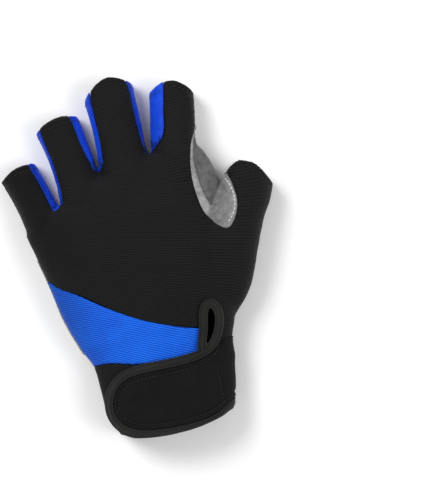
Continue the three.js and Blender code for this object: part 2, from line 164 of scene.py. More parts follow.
MIDDLE_SECTIONS = [
    (-3, 106, 18, 107, 0, 0.75, 1.6, 0),
    (-7.2, 126, 20, 126, 0, 1.12, 1.2, 0),
    (-7, 142, 19, 142, 0, 1.06, 0.7, 0),
    (-6.8, 159, 18.9, 160, 1.2, 0.98, 0.2, 0),
    (-8, 173.5, 18.6, 178, 7.8, 0.96, 0, 0),
]
INDEX_SECTIONS = [
    (20.5, 106, 41, 107, 0, 0.72, 1.6, 0),
    (20.4, 127, 44.5, 127, 0, 1.08, 1.2, 0.06),
    (21.4, 143, 45, 143, 0, 1.04, 0.7, 0.12),
    (23.8, 158, 47.4, 156, 1.2, 0.96, 0.2, 0.14),
    (26.2, 171.6, 49, 167, 6, 0.94, 0, 0.14),
]
THUMB_SECTIONS = [
    (24, 63, 43, 45, 0, 0.62, 1.6, 0),
    (28, 79, 56.5, 61, 0, 0.9, 1.3, 0),
    (34, 95, 65.5, 82, 0, 1, 1.25, 0),
    (45.5, 107, 71.5, 95.5, 0.8, 1, 0.7, 0),
    (52.6, 116, 76.6, 103.8, 4.5, 0.98, 0.2, 0),
    (56.5, 122, 80, 111.6, 11, 0.96, 0, 0),
]
STALLS = {
    "pinky": (PINKY_SECTIONS, FINGER_DEPTH),
    "ring": (RING_SECTIONS, FINGER_DEPTH),
    "middle": (MIDDLE_SECTIONS, FINGER_DEPTH),
    "index": (INDEX_SECTIONS, FINGER_DEPTH),
    "thumb": (THUMB_SECTIONS, THUMB_DEPTH),
}

# Columns of a seam: x, y on the back, x, y on the palm, at the heights SEAM_HIGH and SEAM_LOW
FOURCHETTE_SEAMS = {
    "pinky_ring": [
        (-44, 160, -47, 164), (-41.8, 148, -45.8, 153), (-40, 140, -43.4, 145),
        (-38.2, 134, -41, 136), (-36.7, 127, -38.6, 128), (-35.6, 122, -35.8, 119.4),
        (-34.6, 120.2, -33.6, 115.4), (-32, 121, -31.4, 114.5), (-29.6, 123.6, -29.2, 117),
        (-28.9, 128.5, -28, 123), (-29.4, 137, -28, 132), (-30.6, 147, -29.4, 146),
        (-32.8, 158, -32, 160), (-36, 180, -36, 185),
    ],
    "ring_middle": [
        (-17.5, 176, -18.8, 182), (-15.4, 160, -17.5, 168), (-13.7, 150, -15.6, 158),
        (-12.4, 144.5, -14, 151), (-11.2, 140.4, -12.4, 143), (-10, 138, -10.4, 134),
        (-8.2, 139.6, -8, 129.4), (-6, 140, -6, 128.6), (-4.8, 139.5, -4.8, 131),
        (-4.1, 144, -4.3, 138), (-3.7, 152, -3.9, 149), (-3.9, 162, -3.5, 160),
        (-4.4, 172, -3.3, 170), (-5, 192, -3, 192),
    ],
    "middle_index": [
        (17, 192, 15.4, 192), (16.8, 172, 14.6, 174), (17, 160, 14, 163),
        (17.7, 150, 13.8, 152), (18.4, 145, 14.6, 143), (19.4, 142, 15.6, 135.4),
        (20.8, 143, 17.4, 132.4), (23, 144, 19.4, 133), (26, 144.5, 21.6, 137),
        (28.6, 147.6, 23.2, 143), (30.3, 152, 24.6, 150), (32, 160, 26.4, 160),
        (33.8, 168, 28.2, 170), (36.6, 192, 30, 192),
    ],
}
GUSSET_SEAM = [
    (53, 160, 46.5, 164), (48.8, 151, 45, 156), (45.6, 146, 43.8, 149), (42.8, 141.6, 42.6, 142),
    (40.4, 132, 41.4, 134), (39.3, 123, 40.6, 126), (39.6, 115, 40.4, 119), (41, 107, 41.4, 112),
    (44, 101.4, 44.6, 106.5), (48, 97.7, 48, 104.6), (51.5, 96.4, 50.6, 104.6),
    (54.8, 98.8, 53, 106), (57.8, 103.6, 55.5, 109), (59, 109.8, 57, 113), (58.4, 116, 57.6, 117.5),
    (56.5, 123, 56, 123), (54.5, 134, 54.5, 134), (62, 160, 60, 164),
]
CUFF_SEAM = [
    (-60, 41, -60, 35), (-25, 37.4, -26, 33), (-8, 33.4, -6, 30.4), (10, 32.4, 14, 29.8),
    (26, 33, 25, 31.4), (60, 37, 60, 33), (60, -25, 60, -25), (-60, -25, -60, -25),
]
HEM_LINE = [
    (-60, 7, -60, 7), (-25, 5.4, -24, 5), (-12, 1.6, -11, 0.6), (5, 0, 5, -0.4), (20, 1, 20, 0.6),
    (34, 5.6, 34, 5), (60, 7, 60, 7), (60, -25, 60, -25), (-60, -25, -60, -25),
]

# Outlines in plan
WRIST_PANEL_OUTLINE = [
    (-65, 99), (-46, 86), (-40, 81), (-30, 75), (-20, 67.6), (-10, 61), (0, 55.6),
    (10, 51.5), (20, 48), (26, 46.5), (31.6, 45.5), (28.6, 37), (28.6, 20), (-65, 20),
]
STRAP_OUTLINE = [
    (62, 37.6), (40, 37.4), (28, 36.3), (18, 34.6), (5, 34.2), (-5, 34.4), (-13, 33.8), (-20, 31.6),
    (-26, 26.8), (-29.4, 20), (-30.2, 12.5), (-28.4, 5.2), (-23.6, -0.4), (-16, -3.6), (-8, -5.2),
    (5, -6), (19, -5.6), (28, -3.6), (34, -0.6), (40, 2.4), (62, 4),
]
KEYHOLE_OUTLINE = [
    (27.4, -25), (27.4, 35.5), (28.8, 38.5), (31, 45), (32, 50), (33.3, 54), (34.3, 55.2),
    (35.2, 54), (35.6, 49), (34.2, 43.5), (31, 38.5), (29.4, 35.5), (29.4, -25),
]
PAD_OUTLINE = [
    (40, 128.5), (32, 128), (21, 125.6), (11, 123), (0, 120), (-11, 116.6), (-21, 113.4),
    (-32, 110.8), (-40, 107.4), (-45, 103.8), (-49, 98), (-60, 90), (-45, 44.8), (-32, 44.6),
    (-21, 43.6), (-5, 44.2), (5, 45.6), (16, 47.4), (24, 49.2), (30, 51.8), (33, 64), (37, 82),
    (40, 100), (41, 116),
]
TAB_OUTLINE = [(-4.25, 1.2), (16.25, 1.2), (16.25, 30.4), (-4.25, 30.4)]

# Middle of the tape round the strap's end and up the thumb side of the slot, and of its last
# length down the other side
TAPE_LINE = [
    (62, 6.7), (40, 5.1), (33.2, 2.1), (27.4, -0.9), (19, -2.9), (5, -3.4), (-8, -2.6),
    (-15.4, -1.1), (-21.8, 2), (-26, 7), (-27.7, 12.5), (-27, 19), (-23.8, 25), (-18.6, 29.3),
    (-12.3, 31.2), (-5, 31.9), (5, 31.7), (18, 32.1), (25.4, 33.2), (30.2, 35.4), (33.8, 39),
    (36.4, 43.6), (38, 49), (37.8, 54), (35.8, 57.2), (33.6, 57.6),
]
SLOT_TAPE_LINE = [
    (35.2, 57.5), (32.6, 57.1), (30.7, 54), (29.6, 49.6), (28.6, 45), (27.2, 40.6), (26, 37),
    (25.6, 34),
]

# Dents that the finger gaps leave in the back, how far round them it is smoothed, and how often
DENTS = [(-8, 130.4), (20, 134.4)]
DENT_REACH = 6
DENT_ROUNDS = 40

# Fold between the web of the thumb gusset and its leaf, and inner edge of its side strip
GUSSET_FOLD = [(56, 121), (51, 114.5), (47.5, 109.5), (44.6, 104.6), (42, 100)]
GUSSET_STRIP = [
    (45.6, 147), (43.4, 140), (42, 133), (41.9, 125), (42.8, 117), (44.6, 110), (46.4, 105.6),
]

# Rows of stitches
LEAF_STITCHES = [
    (55.6, 119.4), (57.4, 115.6), (58.4, 109.6), (57.4, 103.4), (54.8, 98.8), (51.8, 96),
]
STRAP_STITCHES = [
    (38, 9.6), (33, 7.2), (28.6, 4.8), (24, 3), (18, 2), (5, 1.7), (-8, 2.5), (-13.6, 3.8),
    (-18, 6), (-21.4, 9), (-22.6, 13), (-22, 17.4), (-19.6, 21.6), (-15.8, 24.9), (-11, 26.2),
    (-5, 26.8), (5, 26.6), (18, 27), (25, 28), (31, 30.4), (34, 33),
]
PAD_STITCHES = [
    (38.8, 126.8), (32, 126.6), (21, 124.2), (11, 121.6), (0, 118.6), (-11, 115.2), (-21, 112),
    (-32, 109.3), (-39.4, 106.1), (-44, 102.6), (-46.6, 97.6),
]
PAD_HEM_STITCHES = [
    (-39, 46.4), (-32, 46), (-21, 45), (-5, 45.6), (5, 47), (16, 48.8), (24, 50.8), (28.6, 52.8),
]
TAB_STITCHES = [[(-2.9, 2.6), (-2.9, 15), (-2.9, 29)], [(14.9, 2.6), (14.9, 15), (14.9, 29)]]
STRAP_END_STITCHES = [(31, 5), (31.4, 16), (31, 28)]

# Stitches of each thread: pitch, length and radius
STITCH_SIZES = {
    "pad_stitches": (2.9, 2.2, 0.3),
    "tab_stitches": (2.4, 1.8, 0.27),
    "gusset_stitches": (2.2, 1.7, 0.27),
    "strap_stitches": (2.1, 1.6, 0.24),
    "hem_stitches": (2.3, 1.8, 0.24),
}

# Holes under the fingers: their radius, and columns of them from the palm to the opening
HOLE_RADIUS = 0.5
HOLE_COLUMNS = [
    [(-46, 118), (-48.6, 126), (-50.6, 134)],
    [(-39.5, 114), (-42.4, 122.5), (-45, 131)],
    [(-25, 117), (-25.6, 126), (-26.4, 135), (-27.8, 144), (-29.4, 153)],
    [(-17.5, 122), (-18.2, 131), (-19.2, 140), (-20.8, 149), (-22.4, 157)],
    [(0.5, 126), (0.4, 135), (0.4, 144), (0.2, 153), (0, 162), (0, 170)],
    [(8, 128), (8, 137.5), (8, 147), (8, 156.5), (8, 166)],
    [(25.6, 133), (27.2, 142), (29, 151), (30.8, 160)],
    [(33.4, 134), (35, 143), (36.8, 152), (38.4, 160)],
]

# Lines sewn through the palm pad
QUILT_LINES = [
    [(36, 119.5), (21, 115.6), (5, 110.2), (-11, 103.6), (-27, 96.2), (-41, 88.6)],
    [(21, 105), (10.5, 100), (0, 93.2), (-11, 86.1), (-21, 79), (-32, 69.8), (-37, 60)],
    [(23.5, 96), (16, 89.6), (5, 81), (-11, 64.8), (-18, 57), (-24, 48.4)],
    [(26.5, 84.7), (21, 77.7), (11, 64.3), (5, 57.2), (-2, 48.6)],
]


# Rows of a table spaced evenly on a smooth curve through them
def smooth_rows(rows, count, closed=False):
    rows = np.array(rows, float)
    if closed:
        rows = np.vstack([rows[-1:], rows, rows[:2]])
    else:
        rows = np.vstack([2 * rows[:1] - rows[1:2], rows, 2 * rows[-1:] - rows[-2:-1]])
    steps = np.sqrt(np.linalg.norm(np.diff(rows[:, :4], axis=0), axis=1))
    knots = np.concatenate([[0], np.cumsum(steps)])
    slopes = np.diff(rows, axis=0) / steps[:, None]
    before, after = steps[:-1, None], steps[1:, None]
    tangents = (slopes[:-1] * after + slopes[1:] * before) / (before + after)
    places = np.linspace(knots[1], knots[-2], count, endpoint=not closed)
    span = np.clip(np.searchsorted(knots, places, side="right") - 1, 1, len(steps) - 2)
    share = ((places - knots[span]) / steps[span])[:, None]
    reach = steps[span][:, None]
    start = (2 * share**3 - 3 * share**2 + 1) * rows[span]
    start += (share**3 - 2 * share**2 + share) * reach * tangents[span - 1]
    end = (3 * share**2 - 2 * share**3) * rows[span + 1]
    end += (share**3 - share**2) * reach * tangents[span]
    return start + end


# Rings of points round a table of sections, drawn in by inset from every side
def section_rings(sections, depth_size, inset, count):
    rows = smooth_rows(sections, count)
    left, right = rows[:, 0:2], rows[:, 2:4]
    bow, depth, floor, lean = (rows[:, column][:, None] for column in range(4, 8))
    depth = depth * depth_size
    floor = floor * PAD_LIFT
    middle = (left + right) / 2
    half = (right - left) / 2
    reach = np.linalg.norm(half, axis=1, keepdims=True)
    half = half * (reach - inset) / reach
    widest = floor + WIDEST * depth
    rise = depth + floor - widest - inset
    fall = widest - floor - inset + FLATTENED * depth
    angle = 2 * math.pi * np.arange(SIDES) / SIDES
    power = np.where(np.arange(SIDES) < SIDES / 2, 2 / ROUND_BACK, 2 / ROUND_PALM)
    u = np.sign(np.cos(angle)) * np.abs(np.cos(angle)) ** power
    w = np.sign(np.sin(angle)) * np.abs(np.sin(angle)) ** power
    x = middle[:, 0:1] + half[:, 0:1] * u + lean * reach * np.maximum(w, 0)
    y = middle[:, 1:2] + half[:, 1:2] * u + bow * (1 - u**2)
    z = np.maximum(widest + np.where(w > 0, rise, fall) * w, floor + inset)
    return np.stack([x, y, z], axis=2)


def shown(name, mesh):
    piece = bpy.data.objects.new(name, mesh)
    bpy.context.scene.collection.objects.link(piece)
    return piece


def from_bmesh(name, bm):
    mesh = bpy.data.meshes.new(name)
    bm.to_mesh(mesh)
    bm.free()
    return shown(name, mesh)


# Removes pieces that are no longer of use
def dropped(*pieces):
    for piece in pieces:
        bpy.data.meshes.remove(piece.data)


# Closed tube through rings of points: a grid bent round, with its ends filled
def tube(name, rings):
    rings = np.asarray(rings)
    runs, sides = rings.shape[:2]
    bm = bmesh.new()
    bmesh.ops.create_grid(bm, x_segments=sides, y_segments=runs - 1, size=1)
    for vert in bm.verts:
        side = round((vert.co.x + 1) / 2 * sides) % sides
        run = round((vert.co.y + 1) / 2 * (runs - 1))
        vert.co = rings[run, side]
    bmesh.ops.remove_doubles(bm, verts=bm.verts, dist=1e-5)
    edges = [edge for edge in bm.edges if edge.is_boundary]
    ends = bmesh.ops.holes_fill(bm, edges=edges, sides=0)["faces"]
    bmesh.ops.triangulate(bm, faces=ends)
    bmesh.ops.recalc_face_normals(bm, faces=bm.faces)
    return from_bmesh(name, bm)


# The piece with its modifiers applied
def baked(piece):
    evaluated = piece.evaluated_get(bpy.context.evaluated_depsgraph_get())
    mesh = bpy.data.meshes.new_from_object(evaluated)
    piece.modifiers.clear()
    old = piece.data
    piece.data = mesh
    bpy.data.meshes.remove(old)
    return piece


def copied(piece, name):
    return shown(name, piece.data.copy())


# Boolean of a piece with a cutter, which is dropped afterwards
def cut(piece, cutter, operation):
    modifier = piece.modifiers.new("cut", "BOOLEAN")
    modifier.solver = "MANIFOLD"
    modifier.operation = operation
    modifier.object = cutter
    baked(piece)
    dropped(cutter)
    return piece


# The largest connected body of a piece
def keep_main_body(piece):
    bm = bmesh.new()
    bm.from_mesh(piece.data)
    unseen = set(bm.verts)
    bodies = []
    while unseen:
        body = {unseen.pop()}
        edge_of_body = list(body)
        while edge_of_body:
            vert = edge_of_body.pop()
            for edge in vert.link_edges:
                other = edge.other_vert(vert)
                if other in unseen:
                    unseen.discard(other)
                    body.add(other)
                    edge_of_body.append(other)
        bodies.append(body)
    largest = max(bodies, key=len)
    crumbs = [vert for body in bodies if body is not largest for vert in body]
    bmesh.ops.delete(bm, geom=crumbs, context="VERTS")
    bm.to_mesh(piece.data)
    bm.free()
    return piece


# Evenly meshed and smoothed, so that cut edges are soft
def softened(piece, voxel, rounds):
    remesh = piece.modifiers.new("even", "REMESH")
    remesh.mode = "VOXEL"
    remesh.voxel_size = voxel
    smooth = piece.modifiers.new("soft", "SMOOTH")
    smooth.factor = 0.5
    smooth.iterations = rounds
    return baked(piece)


def joined(name, pieces):
    bm = bmesh.new()
    for piece in pieces:
        bm.from_mesh(piece.data)
    dropped(*pieces)
    return from_bmesh(name, bm)


# A finger or thumb stall, run on past its open end where it cuts
def stall(name, inset):
    sections, depth = STALLS[name]
    rings = section_rings(sections, depth, inset, STALL_RINGS)
    if inset > 0:
        axis = np.array(sections[-1][:2], float) - sections[-2][:2]
        axis *= RUN_OUT / np.linalg.norm(axis)
        beyond = rings[-1] + np.append(axis, 0)
        rings = np.concatenate([rings, beyond[None]])
    return tube(name, rings)


# The hand without fingers, run on past the wrist hem where it cuts or is cut
def hand(inset, past_hem):
    sections = np.array(HAND_SECTIONS, float)
    sections[-1, [1, 3]] -= max(inset, 0)
    rings = section_rings(sections, PALM_DEPTH, inset, HAND_RINGS)
    if past_hem:
        beyond = rings[0] - [0, RUN_OUT, 0]
        rings = np.concatenate([beyond[None], rings])
    return tube("hand", rings)


# Hand, fingers and thumb in one smooth body
def whole_body(name, inset):
    parts = [hand(inset, True), *(stall(finger, inset) for finger in STALLS)]
    return softened(joined(name, parts), BODY_VOXEL, BODY_SMOOTHING)


def smooth_step(values, start, end):
    share = np.clip((np.asarray(values) - start) / (end - start), 0, 1)
    return share * share * (3 - 2 * share)


def points_of(piece):
    points = np.empty(len(piece.data.vertices) * 3)
    piece.data.vertices.foreach_get("co", points)
    return points.reshape(-1, 3)


def normals_of(piece):
    normals = np.empty(len(piece.data.vertices) * 3)
    piece.data.vertex_normals.foreach_get("vector", normals)
    return normals.reshape(-1, 3)


def moved_to(piece, points):
    piece.data.vertices.foreach_set("co", points.ravel())
    piece.data.update()


# Moves every vertex of a piece along its normal
def pushed(piece, amounts):
    moved_to(piece, points_of(piece) + normals_of(piece) * amounts[:, None])


# Keeps painted light and shade for each vertex in the tone attribute, as a share of the finish's own tone
def painted_light_and_shade(piece, painted_shares):
    kept = piece.data.attributes.get("tone")
    if kept is None:
        kept = piece.data.attributes.new("tone", "FLOAT", "POINT")
    kept.data.foreach_set("value", np.asarray(painted_shares, float))


# Distance in plan from points to a smooth line, and the side: above zero on its left
def from_line(points, line):
    rows = smooth_rows(line, 7 * len(line))
    ends = rows[1:] - rows[:-1]
    nearest = np.full(len(points), 1e9)
    side = np.zeros(len(points))
    for start, along in zip(rows[:-1], ends):
        offset = points[:, :2] - start
        share = np.clip(offset @ along / (along @ along), 0, 1)
        gap = np.linalg.norm(offset - share[:, None] * along, axis=1)
        closer = gap < nearest
        nearest = np.where(closer, gap, nearest)
        side = np.where(closer, np.sign(along[0] * offset[:, 1] - along[1] * offset[:, 0]), side)
    return nearest, side


# How far the vertices of a piece laid round the hand face outwards, from 0 to 1
def facing_out(piece):
    ways = points_of(piece) - HAND_AXIS
    ways[:, 1] = 0
    ways /= np.linalg.norm(ways, axis=1, keepdims=True)
    return smooth_step((normals_of(piece) * ways).sum(axis=1), -0.2, 0.4)


# Draws the vertices of a piece laid round the hand in towards it, by a share of their height
def thinned(piece, shares):
    below = hand(-GAP, True)
    surface = surface_of(below)
    dropped(below)
    points = points_of(piece)
    for index in np.flatnonzero(shares > 0.01):
        foot = np.array(surface.find_nearest(Vector(points[index]))[0])
        points[index] = foot + (points[index] - foot) * (1 - shares[index])
    moved_to(piece, points)


# Share of a rounded furrow or ridge, 1 in its middle, at a distance from it. What it is
# multiplied by where pieces are pushed is a height in millimetres.
def rounded(distance, width):
    return np.exp(-((distance / width) ** 2))


# Soft unevenness of cloth: noise of a given wavelength at every point, another for each seed
def unevenness(points, wavelength, seed):
    shift = Vector((seed * 17.3, seed * 5.1, seed * 9.7))
    return np.array([noise.noise(Vector(point) / wavelength + shift) for point in points])


# Outline moved out by a distance, with its corners kept
def grown(outline, distance):
    outline = np.array(outline, float)
    area = np.cross(outline, np.roll(outline, -1, axis=0)).sum()
    before = outline - np.roll(outline, 1, axis=0)
    after = np.roll(outline, -1, axis=0) - outline
    before /= np.linalg.norm(before, axis=1, keepdims=True)
    after /= np.linalg.norm(after, axis=1, keepdims=True)
    mitre = (before + after)[:, ::-1] * [1, -1] * math.copysign(1, area)
    mitre /= np.linalg.norm(mitre, axis=1, keepdims=True)
    side = after[:, ::-1] * [1, -1] * math.copysign(1, area)
    stretch = 1 / np.maximum((mitre * side).sum(axis=1, keepdims=True), 0.5)
    return outline + mitre * stretch * distance


# Upright block between the seams of a table, or inside an outline
def region(name, rows, grow=0.0, low=BOTTOM, high=TOP, smooth=True):
    rows = np.array(rows, float)
    palm, back = rows[:, -2:], rows[:, :2]
    ends = []
    for height in (low, high):
        share = (height - SEAM_LOW) / (SEAM_HIGH - SEAM_LOW)
        ends.append(grown(palm + (back - palm) * share, grow))
    both = np.hstack(ends)
    if smooth:
        both = smooth_rows(both, 12 * len(both), closed=True)
    below = np.column_stack([both[:, :2], np.full(len(both), low)])
    above = np.column_stack([both[:, 2:], np.full(len(both), high)])
    return tube(name, [below, above])


# Block under a stroke of a given width along a line
def stroke(name, line, width, low=BOTTOM):
    rows = smooth_rows(line, 10 * len(line))
    along = np.gradient(rows, axis=0)
    side = along[:, ::-1] * [-1, 1]
    side /= np.linalg.norm(side, axis=1, keepdims=True)
    outline = np.vstack([rows + side * width / 2, (rows - side * width / 2)[::-1]])
    return region(name, outline, low=low, smooth=False)


# Everything below the side seams, raised by a distance
def lower_half(raised):
    reach = 200
    bm = bmesh.new()
    bmesh.ops.create_cube(bm, size=1)
    bmesh.ops.scale(bm, vec=(2 * reach, 2 * reach, 40), verts=bm.verts)
    slope = (FINGER_SEAM - WRIST_SEAM) / reach
    for vert in bm.verts:
        if vert.co.z > 0:
            vert.co.z = WRIST_SEAM + raised + slope * max(vert.co.y, 0)
    return from_bmesh("lower_half", bm)


# Everything on the finger side of the wrist hem, far past the glove on the other sides
def past_the_hem():
    hem = HAND_SECTIONS[0]
    left, right, bow = np.array(hem[:2]), np.array(hem[2:4]), hem[4]
    shares = np.linspace(-1, 1, 41)[:, None]
    edge = (left + right) / 2 + (right - left) / 2 * shares
    edge[:, 1:] += bow * (1 - shares**2)
    outline = np.vstack([[(-90, 0)], edge, [(90, 1), (90, 230), (-90, 230)]])
    return region("past_the_hem", outline, low=-8, high=TOP + 8, smooth=False)


# Panels of the skin, cut out one after another with a gap to the rest
def skin_panels(outside, inside):
    rest = cut(copied(outside, "rest"), inside, "DIFFERENCE")
    cut(rest, past_the_hem(), "INTERSECT")
    keyhole = region("keyhole", KEYHOLE_OUTLINE, low=WRIST_SEAM)
    cut(rest, keyhole, "DIFFERENCE")
    panels = {}

    def cut_out(name, rows):
        panels[name] = cut(copied(rest, name), region(name, rows), "INTERSECT")
        cut(rest, region("gap", rows, grow=SEAM_GAP), "DIFFERENCE")

    cut_out("thumb_gusset", GUSSET_SEAM)
    for fingers, rows in FOURCHETTE_SEAMS.items():
        cut_out("fourchette_" + fingers, rows)
    cut_out("cuff", CUFF_SEAM)
    panels["palm_panel"] = cut(copied(rest, "palm_panel"), lower_half(0), "INTERSECT")
    cut(rest, lower_half(SEAM_GAP), "DIFFERENCE")
    wrist = region("wrist", WRIST_PANEL_OUTLINE)
    panels["wrist_panel"] = cut(copied(rest, "wrist_panel"), wrist, "INTERSECT")
    wrist_gap = region("wrist_gap", WRIST_PANEL_OUTLINE, grow=SEAM_GAP)
    panels["back_panel"] = cut(rest, wrist_gap, "DIFFERENCE")
    for name, panel in panels.items():
        fine = name.startswith(("thumb", "fourchette"))
        voxel, rounds = (FINE_VOXEL, FINE_SMOOTHING) if fine else (PANEL_VOXEL, EDGE_SMOOTHING)
        softened(keep_main_body(panel), voxel, rounds)
    return panels


# Rings of points round the open ends of the stalls, at a distance from the edge
def hem_rings(distance):
    rings = {}
    for name, (sections, depth) in STALLS.items():
        drawn = section_rings(sections, depth, 0, HEM_RINGS)
        run = np.linalg.norm(np.diff(drawn.mean(axis=1), axis=0), axis=1)[::-1].cumsum()
        rings[name] = drawn[-2 - int(np.searchsorted(run, distance))]
    return rings


# Tree that finds the nearest of some points
def tree_of(points):
    tree = KDTree(len(points))
    for index, point in enumerate(points):
        tree.insert(point, index)
    tree.balance()
    return tree


# Furrow where each finger and thumb hem is sewn down and the cloth's own unevenness, with painted shade in
# that furrow and painted shade darkening the side away from the thumb
def hemmed(panel, seed):
    points = points_of(panel)
    hems = tree_of(np.concatenate(list(hem_rings(HEM_WIDTH).values())))
    distance = np.array([hems.find(point)[2] for point in points])
    furrow = -0.35 * rounded(distance, 0.9)
    waves = 0.55 * unevenness(points, 26, seed) + 0.18 * unevenness(points, 9, seed + 1)
    pushed(panel, furrow + waves)
    # Painted shade: darker in the hem furrow and on the side away from the thumb
    side = smooth_step(-points[:, 0], 18, 42)
    painted_light_and_shade(panel, (1 - 0.35 * rounded(distance, 0.8)) * (1 - 0.32 * side))


# Creases where a fourchette turns at the bottom between two fingers, with painted shade in its seam, at its
# bottom and in the creases
def creased(panel, rows, seed):
    points = points_of(panel)
    low = min(row[1] for row in rows)
    near = 1 - smooth_step(points[:, 1], low - 2, low + 16)
    creases = 0.7 * unevenness(points * [1.6, 0.8, 1], 3.4, seed)
    pushed(panel, creases * near + 0.12 * unevenness(points, 4, seed + 1))
    # Painted shade along the seam, towards the bottom and in the crease valleys
    seam = from_line(points, [row[:2] for row in rows])[0]
    shade = 0.5 * rounded(seam, 0.9) * smooth_step(points[:, 2], 8, 14)
    painted_bottom_shade = 1 - smooth_step(points[:, 1], low, low + 7)
    painted_light_and_shade(panel, (1 - shade) * (1 - 0.3 * painted_bottom_shade) * (1 - 1.7 * near * np.clip(-creases, 0, 0.4)))


# The back smoothed round its dents
def calmed(panel):
    bm = bmesh.new()
    bm.from_mesh(panel.data)
    near = []
    for vert in bm.verts:
        if any((vert.co.xy - Vector(dent)).length < DENT_REACH for dent in DENTS):
            near.append(vert)
    all_ways = {"use_axis_x": True, "use_axis_y": True, "use_axis_z": True}
    for _ in range(DENT_ROUNDS):
        bmesh.ops.smooth_vert(bm, verts=near, factor=0.5, **all_ways)
    bm.to_mesh(panel.data)
    bm.free()


# Small gathers in the cloth of the back beside the thumb gusset
def gathered(panel, seed):
    points = points_of(panel)
    distance = from_line(points, [row[:2] for row in GUSSET_SEAM])[0]
    folds = unevenness(points * [0.3, 1.2, 0.3], 3, seed)
    pushed(panel, 0.9 * folds * np.exp(-distance / 6) * smooth_step(distance, 0.5, 2.5))


# Thumb gusset: a rolled strip along the hand, a web, and the leaf folded over it. The three are painted in
# tones of light and shade, the web dark, the leaf lighter and the strip lightest, with painted shadow along
# the fold and the strip's edge and a lighter rim along the leaf's stitches
def folded_gusset(panel):
    points = points_of(panel)
    fold, fold_side = from_line(points, GUSSET_FOLD)
    strip, strip_side = from_line(points, GUSSET_STRIP)
    leaf = smooth_step(fold * fold_side, -0.4, 0.4)
    in_strip = smooth_step(-strip * strip_side, -0.3, 0.3) * (1 - leaf)
    web = (1 - leaf) * (1 - in_strip)
    above = normals_of(panel)[:, 2] > -0.2
    fold_ridge = 0.9 * leaf * np.exp(-fold / 4) - 0.5 * (1 - leaf) * rounded(fold, 1.6)
    fold_ridge *= smooth_step(points[:, 0], 43.5, 47)
    roll = 0.5 * in_strip * rounded(strip - 1.6, 1.3) - 0.35 * web * rounded(strip, 0.8)
    pushed(panel, (fold_ridge + roll) * above + 0.15 * unevenness(points, 5, 3))
    rim = rounded(from_line(points, LEAF_STITCHES)[0], 1.8)
    # Painted light and shade: the web darkest, the leaf lighter, the strip lightest, painted shadow at the
    # fold and strip edge
    painted_shares = (0.58 + 0.22 * rim) * leaf + 0.93 * in_strip + 0.39 * web
    edge = rounded(fold, 0.5) * (1 - leaf) + rounded(strip, 0.4) * (1 - leaf)
    painted_light_and_shade(panel, painted_shares * (1 - 0.35 * np.clip(edge, 0, 1)))


# A piece of its own thickness on the outside of the hand, inside a region
def sewn_piece(name, thickness, area, voxel=TRIM_VOXEL):
    layer = cut(hand(-GAP - thickness, False), hand(-GAP, True), "DIFFERENCE")
    piece = keep_main_body(cut(layer, area, "INTERSECT"))
    piece.name = name
    return softened(piece, voxel, EDGE_SMOOTHING)


# Padded suede under the palm, drawn in along its quilting and its border, with painted shade in those
# furrows
def palm_pad():
    area = region("pad_area", PAD_OUTLINE, high=PAD_HIGH)
    pad = sewn_piece("palm_pad", PAD_THICKNESS, area)
    points = points_of(pad)
    outer = smooth_step(-normals_of(pad)[:, 2], 0.0, 0.6)
    quilting = np.min([from_line(points, line)[0] for line in QUILT_LINES], axis=0)
    border = np.min([from_line(points, line)[0] for line in (PAD_STITCHES, PAD_HEM_STITCHES)], axis=0)
    furrows = 1.0 * rounded(quilting, 1.5) + 0.55 * rounded(border, 0.9)
    points[:, 2] += outer * (furrows + 0.12 + 0.12 * unevenness(points, 7, 5))
    moved_to(pad, points)
    # Painted shade in the quilting and border furrows
    painted_light_and_shade(pad, 1 - 0.22 * rounded(quilting, 1.0) - 0.15 * rounded(border, 0.7))
    return pad


# Loop cloth of the strap inside its tape: a ridge beside the tape and a sewn furrow inside it, with painted
# shade in that furrow and along the end seam.
# At the thumb side its upper edge thins out into the cuff.
def strap_field():
    area = region("strap_area", STRAP_OUTLINE, low=STRAP_LOW)
    cut(area, stroke("tape", TAPE_LINE, TAPE_WIDTH + 2 * GAP), "DIFFERENCE")
    strap = sewn_piece("strap", STRAP_THICKNESS, area, FINE_VOXEL)
    points = points_of(strap)
    outer = facing_out(strap)
    inside = from_line(points, TAPE_LINE)[0] - TAPE_WIDTH / 2
    end_seam = from_line(points, STRAP_END_STITCHES)[0]
    form = 0.35 * rounded(inside - 1.1, 0.7) - 0.5 * rounded(inside - 2.8, 0.7)
    form -= 0.35 * rounded(end_seam, 0.6)
    thin = smooth_step(points[:, 0], 31, 37) * smooth_step(points[:, 1], 27, 36.5)
    pushed(strap, form * (1 - thin) * outer + 0.06 * unevenness(points, 8, 6))
    thinned(strap, 0.88 * thin)
    # Painted shade in the sewn furrow and along the end seam
    painted_light_and_shade(strap, 1 - 0.35 * rounded(inside - 2.8, 0.6) - 0.3 * rounded(end_seam, 0.5))
    return strap


# One tape round the strap's end and round the slot, thinner round the slot, with painted shade in the two
# furrows that run along it
def edge_tape():
    area = stroke("tape", TAPE_LINE, TAPE_WIDTH, low=STRAP_LOW)
    cut(area, stroke("slot_tape", SLOT_TAPE_LINE, TAPE_WIDTH, low=WRIST_SEAM), "UNION")
    tape = sewn_piece("strap_binding", TAPE_THICKNESS, area, FINE_VOXEL)
    points = points_of(tape)
    outer = facing_out(tape)
    thin = smooth_step(points[:, 1], 35, 43) * smooth_step(points[:, 0], 22, 24)
    both = [from_line(points, line)[0] for line in (TAPE_LINE, SLOT_TAPE_LINE)]
    middle = np.min(both, axis=0)
    crown = 0.25 * (1 - (middle / (TAPE_WIDTH / 2)) ** 2) - 0.35 * rounded(middle - 1.2, 0.45)
    pushed(tape, crown * outer)
    thinned(tape, 0.45 * thin)
    # Painted shade in the tape's furrows
    painted_light_and_shade(tape, 1 - 0.3 * rounded(middle - 1.2, 0.5))
    return tape


